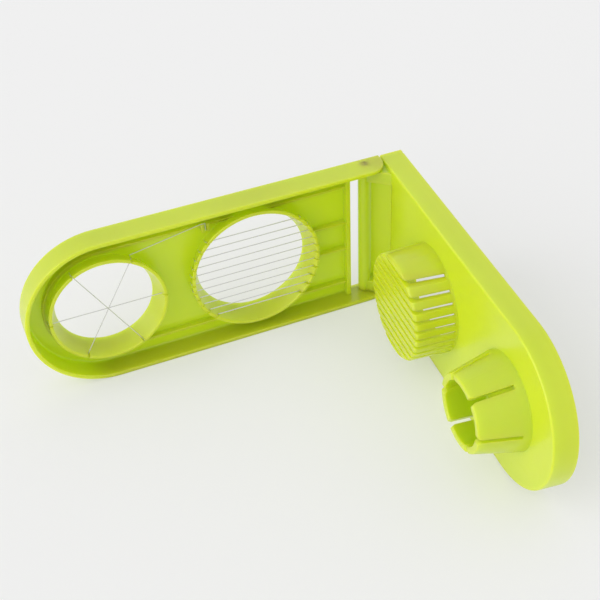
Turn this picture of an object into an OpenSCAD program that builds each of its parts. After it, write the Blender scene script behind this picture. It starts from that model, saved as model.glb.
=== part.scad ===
// Two-way egg cutter: a tray with a slicing ring and a wedging ring,
// and a hinged press lid with a slotted comb and a six-finger crown.
// It stands on one long side, with the lid open and the hinge axis upright.

/* [Body] */
// Width of the tray and of the lid, which is the height as it stands
width = 75; // [70:1:84]
// Length of the tray, from the hinge corner to the tip of the round end
base_len = 184.6; // [180:0.2:200]
// Depth of the tray, back to rim
base_depth = 12.6; // [12:0.2:15]
// Depth of the lid, pressing face to rim
lid_depth = 10.8; // [9:0.2:13]
// Wall thickness of the tray and the lid
wall = 2; // [1.8:0.1:2.4]
// Thickness of the tray's floor
floor_t = 2.2; // [1.6:0.1:2.8]
// Thickness of the lid's pressing plate
lid_plate = 2; // [1.6:0.1:2.8]
// Radius of the tray's outer back edge
edge_r = 1; // [0.5:0.25:2]
// Radius of the lid's outer face edge
lid_edge_r = 0.75; // [0.5:0.25:2.5]
// Rounding of the rims' edges
rim_r = 0.5; // [0.3:0.1:0.6]
// Fillet inside both trays
fillet_r = 1; // [0.4:0.1:1.6]
// Draft of the lid's side walls, in degrees
lid_draft = 2.5; // [1:0.5:9]
// How far the lid stands open
open_angle = 87; // [60:1:90]
// Gap between the tray's rim and the shut lid
shut_gap = 0.6; // [0.4:0.1:1.2]

/* [Hinge] */
// Height of the hinge axis over the tray's back
hinge_t = 4; // [3.3:0.1:4.2]
// Radius of the lid's hinge barrel
barrel_r = 3.1; // [2.6:0.1:3.2]
// Radius of the moulded trunnions
pin_r = 1.5; // [1.1:0.1:1.9]
// Radial running clearance of the trunnions
pin_gap = 0.05; // [0.02:0.01:0.1]
// Plastic left outside the blind trunnion bores
pin_skin = 0.5; // [0.4:0.1:0.7]
// End clearance of the trunnions in their bores
pin_end = 0.1; // [0.05:0.05:0.3]
// Side gap between the barrel and each ear
ear_gap = 0.35; // [0.3:0.05:0.6]
// Slot between the barrel and the floor's first rib
floor_gap = 5; // [4.4:0.1:6]
// Thickness of that rib
hinge_rib_w = 2; // [1.2:0.1:2.4]
// Height of that rib over the tray's back
hinge_rib_t = 6; // [4:0.25:6.5]
// Width of the gussets at the barrel's ends, along the axis
gusset_w = 6; // [3:0.5:8]

/* [Rings] */
// Distance between the two rings' centres
ring_spacing = 70; // [67:1:76]
// Height of both rings over the tray's back
ring_t = 11; // [10.4:0.1:11.4]
// Wall of both rings
ring_wall = 1.6; // [1.2:0.1:2]
// Radius of the slicer's hole at its narrowest
slice_r = 26.2; // [25.4:0.1:26.8]
// Draft of the slicer's ring, in degrees
slice_draft = 20; // [10:0.5:20]
// Radius of the wedger's hole at its narrowest
wedge_r = 22.4; // [22:0.1:24]
// Draft of the wedger's ring, in degrees
wedge_draft = 17.5; // [8:0.5:22]
// Rounding of both holes at the back
lead_r = 1.2; // [0.6:0.1:1.6]

/* [Wires] */
// Diameter of the cutting wires
wire_d = 0.4; // [0.3:0.05:0.6]
// Height of the slicer wires' axes over the tray's back
wire_t = 9; // [8.4:0.1:9.1]
// Distance between neighbouring slicer wires
wire_pitch = 4.25; // [4:0.05:4.5]
// Width of the notches that hold the wires
notch_w = 0.8; // [0.7:0.05:1]
// How far a wire runs past its ring before it bends
wire_over = 0.45; // [0.4:0.05:0.8]
// Length of the bent ends
wire_hook = 2.2; // [1.2:0.1:3]

/* [Wire cleat] */
// Gap between the cleat and the slicer's ring
cleat_gap = 0.4; // [0.3:0.1:2]
// Side of the square cleat
cleat_w = 4; // [3.5:0.25:5]
// How far the cleat stands out past its rib
cleat_out = 0.8; // [0.4:0.1:1.5]
// Height of the cleat over the tray's back
cleat_t = 6.6; // [5.6:0.2:7]
// Slot of the cleat
cleat_slot = 1.2; // [1:0.1:1.6]
// Depth of the wire below the cleat's top
tail_in = 0.4; // [0.3:0.05:0.6]
// Gap between the wire's tail and the cleat's side
tail_gap = 0.05; // [0.02:0.01:0.2]
// How far before the cleat the tail turns
tail_turn = 0.5; // [0.3:0.1:1]
// Length of the tail's end inside the cleat's slot
tail_end = 0.6; // [0.4:0.1:1.2]

/* [Comb] */
// Clearance between the comb's root and the slicer's hole
comb_gap = 1.2; // [1:0.1:2]
// Taper of the comb, root to tip
comb_taper = 0.7; // [0.3:0.1:2]
// Height of the comb over the lid's face
comb_h = 19; // [15:0.5:20]
// Side wall of the comb
comb_wall = 1.5; // [1.2:0.1:2.5]
// Front wall of the comb
comb_front = 2; // [1.5:0.1:3]
// Rounding of the comb's front edge
comb_edge = 1.5; // [0.5:0.25:2]
// Height of the comb's solid foot over the lid's face
comb_foot = 0.8; // [0.4:0.2:3]
// Width of the comb's slots
comb_slot = 1.6; // [1.3:0.1:2.1]
// Set of the comb away from the hinge, for the swing
comb_lead = 1; // [0.5:0.1:1.2]

/* [Crown] */
// Clearance between the crown's root and the wedger's hole
crown_gap = 1; // [0.9:0.1:2]
// Taper of the crown, root to tip
crown_taper = 4.8; // [3.5:0.1:6]
// Height of the crown over the lid's face
crown_h = 20.4; // [16:0.4:21.6]
// Wall of the crown's fingers
crown_wall = 3; // [2:0.25:4]
// Rounding of the fingers' tips
crown_edge = 0.7; // [0.4:0.1:0.9]
// Width of the crown's slots
crown_slot = 1.8; // [1.5:0.1:2.6]
// Depth of the slots' flared mouths
crown_mouth = 1.6; // [1:0.2:4]
// How far each mouth opens on either side
crown_flare = 0.7; // [0.4:0.1:1.6]
// Clearance between the wires and the roots of the crown's slots, when shut
root_gap = 0.4; // [0.3:0.1:1]

/* [Ribs] */
// Thickness of the floor's ribs
rib_w = 1.2; // [0.8:0.1:1.6]
// Height of the ribs over the tray's back
rib_t = 5; // [3.4:0.2:5.6]
// Distance of the outer ribs from the tray's outside
rib_in = 9.75; // [8.5:0.25:10.5]
// Distance of the inner ribs from the middle line
rib_mid = 7.5; // [5:0.5:14]

/* [Hidden] */
$fn = 72;
e = 0.01;
wires = 5;
wedges = [0, 60, 120];
half = width / 2;
// distances along the tray, from the hinge corner
hinge_s = base_depth + lid_depth + shut_gap - hinge_t;
ear_r = base_depth - hinge_t;
lid_s = hinge_s - hinge_t;
floor_s = hinge_s + barrel_r + floor_gap;
// the lid's plate starts where that rib ends
plate_s = floor_s + hinge_rib_w;
wedge_s = base_len - half;
slice_s = wedge_s - ring_spacing;
comb_s = slice_s + comb_lead;
// heights over the tray's back, with the lid shut
face_t = base_depth + shut_gap;
lid_t = face_t + lid_depth;
barrel_y = half - wall - ear_gap;
rib_y = half - rib_in;
wire_r = wire_d / 2;
wedge_ts = [wire_t - wire_d, wire_t, wire_t + wire_d];
slot_root = face_t - wire_t - wire_d - wire_r - root_gap;
comb_r = slice_r - comb_gap;
comb_tip = comb_r - comb_taper;
crown_tip = wedge_r - crown_gap - crown_taper;
crown_draft = -atan(crown_taper / crown_h);
cleat_y = rib_y + rib_w / 2 + cleat_out - cleat_w / 2;
tail_t = cleat_t - tail_in;
tail_y = cleat_y + cleat_w / 2 + wire_r + tail_gap;
// middle of the standing part's box
rim_s = rim_r - hinge_t;
rim_t = lid_t - hinge_t - rim_r;
low_s = hinge_s + rim_s * cos(open_angle) - rim_t * sin(open_angle) - rim_r;
far_s = base_len - rim_r - hinge_s;
high_t = hinge_t + far_s * sin(open_angle) + rim_t * cos(open_angle) + rim_r;
mid_x = (base_len + low_s) / 2;
mid_y = high_t / 2;

SLICE = [for (i = [1 : 2 * wires + 1]) str("slicer_wire_", i)];
WEDGE = [for (i = [1 : len(wedges)]) str("wedge_wire_", i)];

// ---- profiles: x is the distance from the middle, y the height ----

function arc_pts(c, r, a0, a1, n = 6) =
    [for (i = [0 : n]) c + r * [cos(a0 + (a1 - a0) * i / n), sin(a0 + (a1 - a0) * i / n)]];

// x at height y of the outer or inner line of a wall w thick, with draft d,
// whose rim, with edges rounded by r, reaches hw at height top
function outer_x(hw, top, r, d, y) =
    hw - r + r * cos(d) + (y - (top - r - r * sin(d))) * tan(d);
function inner_x(hw, top, r, d, w, y) = outer_x(hw, top, r, d, y) - w / cos(d);

// centre of the rounding of a rim's inner edge
function inner_c(hw, top, r, d, w) =
    [inner_x(hw, top, r, d, w, top - r + r * sin(d)) + r * cos(d), top - r];

// outside of a tray: rounded edge at the bottom, outer edge of the rim
function outer_side(hw, bot, top, r, er, d) = concat(
    arc_pts([outer_x(hw, top, r, d, bot + er) - er / cos(d), bot + er], er, -90, -d),
    arc_pts([hw - r, top - r], r, -d, 90)
);

// inside of a tray: fillet on the floor, inner edge of the rim
function inner_side(hw, bot, top, r, fr, d, w) = concat(
    arc_pts([inner_x(hw, top, r, d, w, bot + fr) - fr / cos(d), bot + fr], fr, -90, -d),
    rim_side(hw, top, r, d, w)
);
function rim_side(hw, top, r, d, w) = let (c = inner_c(hw, top, r, d, w))
    concat(arc_pts(c, r, 180 - d, 90), [[c[0], top + 1]]);

// inside of a ring: open at the bottom, with its back edge rounded
function hole_side(hw, top, r, lr, d, w) = let (x = inner_x(hw, top, r, d, w, lr) + lr)
    concat([[x, -1]], arc_pts([x, lr], lr, 270, 180), rim_side(hw, top, r, d, w));

function both_sides(p) =
    concat(p, [for (i = [len(p) - 1 : -1 : 0]) [-p[i][0], p[i][1]]]);
function to_axis(p) = concat([[0, p[0][1]]], p, [[0, p[len(p) - 1][1]]]);

// a side profile run straight along the tray from s0 to s1
module run(side, s0, s1) {
    translate([s0, 0, 0]) rotate([90, 0, 90]) linear_extrude(s1 - s0) polygon(both_sides(side));
}

// a side profile turned round the upright axis at s
module turn(side, s, angle = 360) {
    translate([s, 0, 0]) rotate([0, 0, -90]) rotate_extrude(angle = angle) polygon(to_axis(side));
}

// a side profile run straight and closed by a half-round end
module capsule(side, s0, s1) {
    run(side, s0, s1);
    turn(side, s1, 180);
}

module block(s0, s1, y0, y1, t0, t1) {
    translate([s0, y0, t0]) cube([s1 - s0, y1 - y0, t1 - t0]);
}

// ---- tray ----

BASE_OUT = outer_side(half, 0, base_depth, rim_r, edge_r, 0);
BASE_IN = inner_side(half, floor_t, base_depth, rim_r, fillet_r, 0, wall);
// outer radius of a ring's front, from its narrowest radius and its draft
function ring_hw(r, d) = r + ring_wall / cos(d) + rim_r - rim_r * cos(d)
    + (ring_t - rim_r - rim_r * sin(d) - lead_r) * tan(d);
SLICE_HW = ring_hw(slice_r, slice_draft);
WEDGE_HW = ring_hw(wedge_r, wedge_draft);
// how far a circle of radius r reaches beside the middle line, at distance y
function beside(r, y) = y < r ? sqrt(r * r - y * y) : 0;
cleat_s = slice_s + cleat_w / 2 + beside(SLICE_HW + cleat_gap, cleat_y - cleat_w / 2);

// the ear's quarter disc round the hinge axis, and its foot down to the back
module ear() {
    edge = concat(arc_pts([ear_r - rim_r, half - wall + rim_r], rim_r, -90, 0),
        arc_pts([ear_r - rim_r, half - rim_r], rim_r, 0, 90));
    tip = concat([[0, half - wall]], edge, [[0, half]]);
    translate([hinge_s, 0, hinge_t]) rotate([90, 0, 0]) rotate([0, 0, 90])
        rotate_extrude(angle = 90) polygon(tip);
    intersection() {
        translate([hinge_s, 0, 0]) mirror([1, 0, 0]) mirror([0, 1, 0])
            linear_extrude(hinge_t) polygon(tip);
        run(BASE_OUT, hinge_s - ear_r - 1, hinge_s);
    }
}

module ear_bore() {
    translate([hinge_s, half - wall - e, hinge_t]) rotate([-90, 0, 0])
        cylinder(r = pin_r + pin_gap, h = wall - pin_skin + e);
}

// outside of a ring, filled; the hole is cut afterwards
module ring_body(hw, d, s) {
    turn(outer_side(hw, 0, ring_t, rim_r, lead_r, d), s);
}

// notches that hold the wires: bottom of each at the wire's underside
module slice_notches() {
    for (i = [-wires : wires])
        block(slice_s - SLICE_HW - 1, slice_s + SLICE_HW + 1, i * wire_pitch - notch_w / 2,
            i * wire_pitch + notch_w / 2, wire_t - wire_r, ring_t + 1);
}

module wedge_notches() {
    for (k = [0 : len(wedges) - 1])
        translate([wedge_s, 0, 0]) rotate([0, 0, wedges[k]])
            block(-WEDGE_HW - 1, WEDGE_HW + 1, -notch_w / 2, notch_w / 2,
                wedge_ts[k] - wire_r, ring_t + 1);
}

module floor_ribs() {
    for (m = [-1, 1]) {
        translate([0, m * rib_y, 0]) block(floor_s, wedge_s, -rib_w / 2, rib_w / 2, e, rib_t);
        translate([0, m * rib_mid, 0]) block(floor_s, slice_s, -rib_w / 2, rib_w / 2, e, rib_t);
    }
    translate([wedge_s, 0, 0]) rotate([0, 0, -90]) rotate_extrude(angle = 180)
        polygon([[rib_y - rib_w / 2, e], [rib_y + rib_w / 2, e],
            [rib_y + rib_w / 2, rib_t], [rib_y - rib_w / 2, rib_t]]);
}

module cleat() {
    difference() {
        block(cleat_s - cleat_w / 2, cleat_s + cleat_w / 2, -cleat_y - cleat_w / 2,
            -cleat_y + cleat_w / 2, e, cleat_t);
        block(cleat_s - cleat_slot / 2, cleat_s + cleat_slot / 2, -cleat_y - cleat_w,
            -cleat_y + cleat_w, rib_t, cleat_t + 1);
    }
}

module base_flat() {
    difference() {
        union() {
            difference() {
                capsule(BASE_OUT, hinge_s, wedge_s);
                capsule(BASE_IN, floor_s, wedge_s);
                run(concat([[half - wall, -1]], rim_side(half, base_depth, rim_r, 0, wall)),
                    hinge_s - 1, floor_s + e);
            }
            for (m = [0, 1]) mirror([0, m, 0]) ear();
            block(floor_s, plate_s, -half + wall / 2, half - wall / 2, e, hinge_rib_t);
            floor_ribs();
            cleat();
            difference() {
                union() {
                    ring_body(SLICE_HW, slice_draft, slice_s);
                    ring_body(WEDGE_HW, wedge_draft, wedge_s);
                }
                slice_notches();
                wedge_notches();
            }
        }
        turn(hole_side(SLICE_HW, ring_t, rim_r, lead_r, slice_draft, ring_wall), slice_s);
        turn(hole_side(WEDGE_HW, ring_t, rim_r, lead_r, wedge_draft, ring_wall), wedge_s);
        for (m = [0, 1]) mirror([0, m, 0]) ear_bore();
    }
}

// ---- lid, as it lies when shut ----

LID_OUT = outer_side(half, face_t, lid_t, rim_r, lid_edge_r, lid_draft);
LID_IN = inner_side(half, face_t + lid_plate, lid_t, rim_r, fillet_r, lid_draft, wall);

// from heights over the lid's face to their place over the tray
module on_face(s) {
    translate([s, 0, face_t]) mirror([0, 0, 1]) children();
}

module comb_body() {
    turn(concat([[comb_r, -lid_plate / 2], [comb_r, 0]],
        arc_pts([comb_tip - comb_edge, comb_h - comb_edge], comb_edge, 0, 90)), 0);
}

module comb_hollow() {
    in_h = comb_h - comb_front;
    turn(concat([[comb_r - comb_wall, -lid_plate - 1], [comb_r - comb_wall, 0]],
        arc_pts([comb_tip - comb_wall - comb_edge, in_h - comb_edge], comb_edge, 0, 90)), 0);
}

module comb_slots() {
    for (i = [-wires : wires])
        block(-comb_r - 1, comb_r + 1, i * wire_pitch - comb_slot / 2,
            i * wire_pitch + comb_slot / 2, comb_foot, comb_h + 1);
}

module crown() {
    root = outer_x(crown_tip, crown_h, crown_edge, crown_draft, 0);
    difference() {
        turn(concat([[root, -lid_plate / 2], [root, 0]],
            arc_pts([crown_tip - crown_edge, crown_h - crown_edge], crown_edge, -crown_draft, 90)), 0);
        turn(inner_side(crown_tip, 0, crown_h, crown_edge, fillet_r, crown_draft, crown_wall), 0);
        for (a = wedges) rotate([0, 0, a]) crown_cut();
    }
}

// one slot right across the crown, with its mouth flared at the tip
module crown_cut() {
    w = crown_slot / 2;
    wide = w + crown_flare * (crown_mouth + 1) / crown_mouth;
    translate([-half, 0, 0]) rotate([90, 0, 90]) linear_extrude(width) polygon([
        [-w, slot_root],
        [w, slot_root],
        [w, crown_h - crown_mouth],
        [wide, crown_h + 1],
        [-wide, crown_h + 1],
        [-w, crown_h - crown_mouth]
    ]);
}

// rounding of the end wall's rim, along the axis
module rim_round() {
    for (m = [0, 1])
        translate([lid_s + (m == 0 ? wall - rim_r : rim_r), 0, lid_t - rim_r]) mirror([m, 0, 0])
            rotate([90, 0, 0]) linear_extrude(2 * half, center = true) difference() {
                square(rim_r + 1);
                circle(rim_r);
            }
}

module hinge_end() {
    // web from the end wall to the barrel
    block(lid_s, lid_s + wall, -barrel_y, barrel_y, hinge_t, face_t + lid_plate / 2);
    translate([hinge_s, 0, hinge_t]) rotate([90, 0, 0])
        cylinder(r = barrel_r, h = 2 * barrel_y, center = true);
    translate([hinge_s, 0, hinge_t]) rotate([90, 0, 0])
        cylinder(r = pin_r, h = 2 * (half - pin_skin - pin_end), center = true);
    // gussets from the barrel's two ends to the pressing plate
    for (m = [0, 1]) mirror([0, m, 0]) translate([0, barrel_y, 0]) rotate([90, 0, 0])
        linear_extrude(gusset_w) polygon([
            [lid_s, hinge_t],
            [hinge_s + barrel_r, hinge_t],
            [plate_s, face_t],
            [plate_s, face_t + lid_plate / 2],
            [lid_s, face_t + lid_plate / 2]
        ]);
}

module lid_flat() {
    difference() {
        union() {
            difference() {
                capsule(LID_OUT, lid_s, wedge_s);
                capsule(LID_IN, lid_s + wall, wedge_s);
                rim_round();
                // window between the end wall and the plate, over the hinge slot
                block(lid_s + wall, plate_s, gusset_w - barrel_y, barrel_y - gusset_w,
                    face_t - 1, face_t + lid_plate + 1);
            }
            hinge_end();
            on_face(comb_s) comb_body();
            on_face(wedge_s) crown();
        }
        on_face(comb_s) comb_hollow();
        on_face(comb_s) comb_slots();
    }
}

// ---- wires ----

module rod(a, b) {
    d = b - a;
    len = norm(d);
    translate(a) rotate([0, acos(d[2] / len), atan2(d[1], d[0])])
        cylinder(r = wire_r, h = len, $fn = 24);
}

// rods through a row of points, with slightly upset bends
module wire_path(p) {
    for (i = [0 : len(p) - 2]) rod(p[i], p[i + 1]);
    for (i = [1 : len(p) - 2]) translate(p[i]) sphere(r = wire_r * 1.12, $fn = 24);
}

// how far a wire at height t reaches from the middle of its ring
function reach(hw, d, t) = outer_x(hw, ring_t, rim_r, d, t) + wire_over;

module slicer_wire(i) {
    y = (i - wires - 1) * wire_pitch;
    ring_x = reach(SLICE_HW, slice_draft, wire_t) - wire_over;
    x = sqrt(ring_x * ring_x - y * y) + wire_over;
    translate([slice_s, y, 0]) wire_path([
        [-x, 0, wire_t - wire_hook],
        [-x, 0, wire_t],
        [x, 0, wire_t],
        [x, 0, wire_t - wire_hook]
    ]);
}

module wedge_wire(k) {
    t = wedge_ts[k - 1];
    x = reach(WEDGE_HW, wedge_draft, t);
    dir = [cos(wedges[k - 1]), sin(wedges[k - 1]), 0];
    mid = [wedge_s, 0, 0];
    up = [0, 0, 1];
    ends = [mid + x * dir + (t - wire_hook) * up, mid + x * dir + t * up, mid - x * dir + t * up];
    tail = [
        mid - x * dir + tail_t * up,
        [cleat_s + cleat_w / 2 + tail_turn, -tail_y, tail_t],
        [cleat_s, -tail_y, tail_t],
        [cleat_s, -cleat_y + cleat_w / 2 - tail_end, tail_t]
    ];
    hook = [mid - x * dir + (t - wire_hook) * up];
    wire_path(concat(ends, k == 2 ? tail : hook));
}

// ---- standing part ----

module stand() {
    translate([mid_x, mid_y, half]) rotate([0, 180, 0]) rotate([90, 0, 0]) children();
}

module base_frame() {
    color("yellowgreen") stand() base_flat();
}

module press_lid() {
    color("yellowgreen") stand() translate([hinge_s, 0, hinge_t]) rotate([0, -open_angle, 0])
        translate([-hinge_s, 0, -hinge_t]) lid_flat();
}

module slicer_wire_at(i) {
    color("silver") stand() slicer_wire(i);
}

module wedge_wire_at(k) {
    color("silver") stand() wedge_wire(k);
}

base_frame();
press_lid();
for (i = [1 : len(SLICE)]) slicer_wire_at(i);
for (k = [1 : len(WEDGE)]) wedge_wire_at(k);
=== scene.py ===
import math

import bpy
from mathutils import Matrix, Vector

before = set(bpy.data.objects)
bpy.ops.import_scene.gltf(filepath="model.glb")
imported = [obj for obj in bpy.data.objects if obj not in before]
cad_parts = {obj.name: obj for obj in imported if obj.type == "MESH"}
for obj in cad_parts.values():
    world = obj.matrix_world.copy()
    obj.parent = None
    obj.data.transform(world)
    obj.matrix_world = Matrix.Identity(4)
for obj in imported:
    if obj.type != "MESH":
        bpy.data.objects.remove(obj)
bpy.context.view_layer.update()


# ---- Camera -------------------------------------------------------------
# A long lens on a tripod, looking down over the open end at about forty
# degrees, so that the tray runs to the left and the lid comes forward.
lens = bpy.data.cameras.new("camera")
lens.sensor_width = 36
lens.lens = 68.34
lens.clip_start = 0.05
lens.clip_end = 20
tripod = bpy.data.objects.new("camera", lens)
bpy.context.scene.collection.objects.link(tripod)

eye = Vector((-0.11295, -0.31706, 0.36014))
heading = math.radians(69.25)
down = math.radians(39.79)
roll = math.radians(-2.71)
forward = Vector((math.cos(heading) * math.cos(down), math.sin(heading) * math.cos(down), -math.sin(down)))
level = Vector((math.sin(heading), -math.cos(heading), 0))
upright = level.cross(forward)
right = level * math.cos(roll) + upright * math.sin(roll)
above = upright * math.cos(roll) - level * math.sin(roll)
turned = Matrix((right, above, -forward)).transposed().to_4x4()
tripod.matrix_world = Matrix.Translation(eye) @ turned
bpy.context.scene.camera = tripod


# ---- Table --------------------------------------------------------------
# A white paper sweep that takes the object's soft shadow. It is shown with a
# little glow of its own, which keeps the shadow pale and lights nothing.
class Flow:
    """A value on its way through a material's nodes, which can be written in sums."""

    def __init__(self, tree, socket=None):
        self.tree = tree
        self.socket = socket

    def node(self, kind, settings=(), out=0, **values):
        made = self.tree.nodes.new(kind)
        for name, value in dict(settings).items():
            setattr(made, name, value)
        for name, value in values.items():
            name = name.replace("_", " ").strip()
            into = made.inputs[int(name) if name.isdigit() else name]
            if isinstance(value, Flow):
                self.tree.links.new(value.socket, into)
            else:
                into.default_value = value
        return Flow(self.tree, made.outputs[out] if made.outputs else None)

    def sum(self, operation, other, flip=False):
        a, b = (other, self) if flip else (self, other)
        return self.node("ShaderNodeMath", {"operation": operation}, _0=a, _1=b)

    def __add__(self, other):
        return self.sum("ADD", other)

    def __radd__(self, other):
        return self.sum("ADD", other)

    def __sub__(self, other):
        return self.sum("SUBTRACT", other)

    def __rsub__(self, other):
        return self.sum("SUBTRACT", other, flip=True)

    def __mul__(self, other):
        return self.sum("MULTIPLY", other)

    def __rmul__(self, other):
        return self.sum("MULTIPLY", other)


def finish_of(name):
    """A new material with no nodes yet, and the start of its flow."""
    material = bpy.data.materials.new(name)
    material.use_nodes = True
    material.node_tree.nodes.clear()
    return material, Flow(material.node_tree)


def looked_at(start):
    """1 where the eye meets a thing itself, in gloss or through something clear, else 0."""
    eye_ray = start.node("ShaderNodeLightPath", out=0)
    glossy_ray = start.node("ShaderNodeLightPath", out=3)
    clear_ray = start.node("ShaderNodeLightPath", out=6)
    return eye_ray + glossy_ray + clear_ray


paper, start = finish_of("white_paper")
place = start.node("ShaderNodeTexCoord", out=3)
fibre = start.node("ShaderNodeTexNoise", Vector=place, Scale=900.0, Detail=2.0)
tooth = start.node("ShaderNodeBump", Strength=0.05, Distance=0.0002, Height=fibre)
sheet = start.node("ShaderNodeBsdfPrincipled", Base_Color=(0.96, 0.96, 0.96, 1), Roughness=0.9, Normal=tooth)
pale_grey = (0.87, 0.87, 0.87, 1)
glow = start.node("ShaderNodeEmission", Color=pale_grey, Strength=1.0)
shown = start.node("ShaderNodeMixShader", _0=0.4 * looked_at(start), _1=sheet, _2=glow)
start.node("ShaderNodeOutputMaterial", Surface=shown)

bpy.ops.mesh.primitive_plane_add(size=12, location=(0, 0, 0))
table = bpy.context.object
table.name = "table_top"
table.data.materials.append(paper)


# ---- Tray and lid -------------------------------------------------------
# Both are injection moulded in one bright yellow-green plastic, which lets
# some light through. It has a satin gloss, soft edges, faint flow marks, a
# slight orange peel, and the hair scratches of a tool that is washed often.
green, start = finish_of("green_plastic")
place = start.node("ShaderNodeTexCoord", out=3)
flow_mark = start.node("ShaderNodeTexNoise", Vector=place, Scale=18.0, Detail=3.0, Roughness=0.5,
                       Distortion=1.2)
peel = start.node("ShaderNodeTexNoise", Vector=place, Scale=320.0, Detail=1.0)
grain = start.node("ShaderNodeTexNoise", Vector=place, Scale=2600.0, Detail=2.0)


def scratches(turn, stretch, rarity):
    """Hair lines: 1 on the few thin crests of a noise drawn out along one direction."""
    drawn_out = start.node("ShaderNodeMapping", Vector=place, Rotation=turn, Scale=stretch)
    line = start.node("ShaderNodeTexNoise", Vector=drawn_out, Scale=1.0, Detail=1.0)
    return start.node("ShaderNodeMapRange", out=0, Value=line, From_Min=rarity, From_Max=rarity + 0.05)


along = scratches((0.3, 0.2, 0.5), (1900, 60, 1900), 0.66)
across = scratches((0.9, 1.1, 0.2), (1700, 1700, 50), 0.68)
worn = along + across
soft_edge = start.node("ShaderNodeBevel", {"samples": 6}, Radius=0.0004)
waves = start.node("ShaderNodeBump", Strength=0.10, Distance=0.0002, Height=peel, Normal=soft_edge)
skin = start.node("ShaderNodeBump", Strength=0.05, Distance=0.0001, Height=grain - 0.6 * worn, Normal=waves)
colour = start.node("ShaderNodeMix", {"data_type": "RGBA"}, out=2,
                    _0=flow_mark, _6=(0.530, 0.640, 0.018, 1), _7=(0.590, 0.700, 0.032, 1))
plastic = start.node("ShaderNodeBsdfPrincipled", Base_Color=colour,
                     Roughness=0.30 + 0.14 * flow_mark + 0.12 * worn, Normal=skin, IOR=1.52,
                     Subsurface_Weight=1.0, Subsurface_Radius=(0.81, 1.0, 0.12), Subsurface_Scale=0.009,
                     Coat_Weight=0.25, Coat_Roughness=0.22)
start.node("ShaderNodeOutputMaterial", Surface=plastic)
for node in ("base_frame", "press_lid"):
    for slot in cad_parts[node].material_slots:
        slot.material = green


# ---- Cutting wires ------------------------------------------------------
# Stainless wire, 0.4 mm thick and drawn bright, pulled tight over the rings
# and held in their notches.
steel, start = finish_of("drawn_steel")
place = start.node("ShaderNodeTexCoord", out=3)
drawn = start.node("ShaderNodeTexNoise", Vector=place, Scale=4000.0, Detail=2.0)
wire_skin = start.node("ShaderNodeBump", Strength=0.1, Distance=0.00005, Height=drawn)
metal = start.node("ShaderNodeBsdfPrincipled", Base_Color=(0.68, 0.68, 0.69, 1), Metallic=1.0,
                   Roughness=0.22 + 0.15 * drawn, Normal=wire_skin)
start.node("ShaderNodeOutputMaterial", Surface=metal)
for name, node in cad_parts.items():
    if "wire" in name:
        for slot in node.material_slots:
            slot.material = steel


# ---- Light --------------------------------------------------------------
# A very large soft light low on the left, and a pale room all round, which
# shows plain pale grey to the camera, in gloss and through clear things.
lamp_data = bpy.data.lights.new("soft_wall", "SUN")
lamp_data.energy = 1.5
lamp_data.angle = math.radians(75)
lamp = bpy.data.objects.new("soft_wall", lamp_data)
lamp.rotation_euler = Vector((0.88, 0.22, -0.42)).to_track_quat("-Z", "Y").to_euler()
bpy.context.scene.collection.objects.link(lamp)

room = bpy.data.worlds.new("room")
room.use_nodes = True
room.node_tree.nodes.clear()
start = Flow(room.node_tree)
air = start.node("ShaderNodeBackground", Color=(1, 1, 1, 1), Strength=0.70)
wall_seen = start.node("ShaderNodeBackground", Color=pale_grey, Strength=1.0)
behind = start.node("ShaderNodeMixShader", _0=looked_at(start), _1=air, _2=wall_seen)
start.node("ShaderNodeOutputWorld", Surface=behind)
bpy.context.scene.world = room
bpy.context.scene.view_settings.view_transform = "Standard"
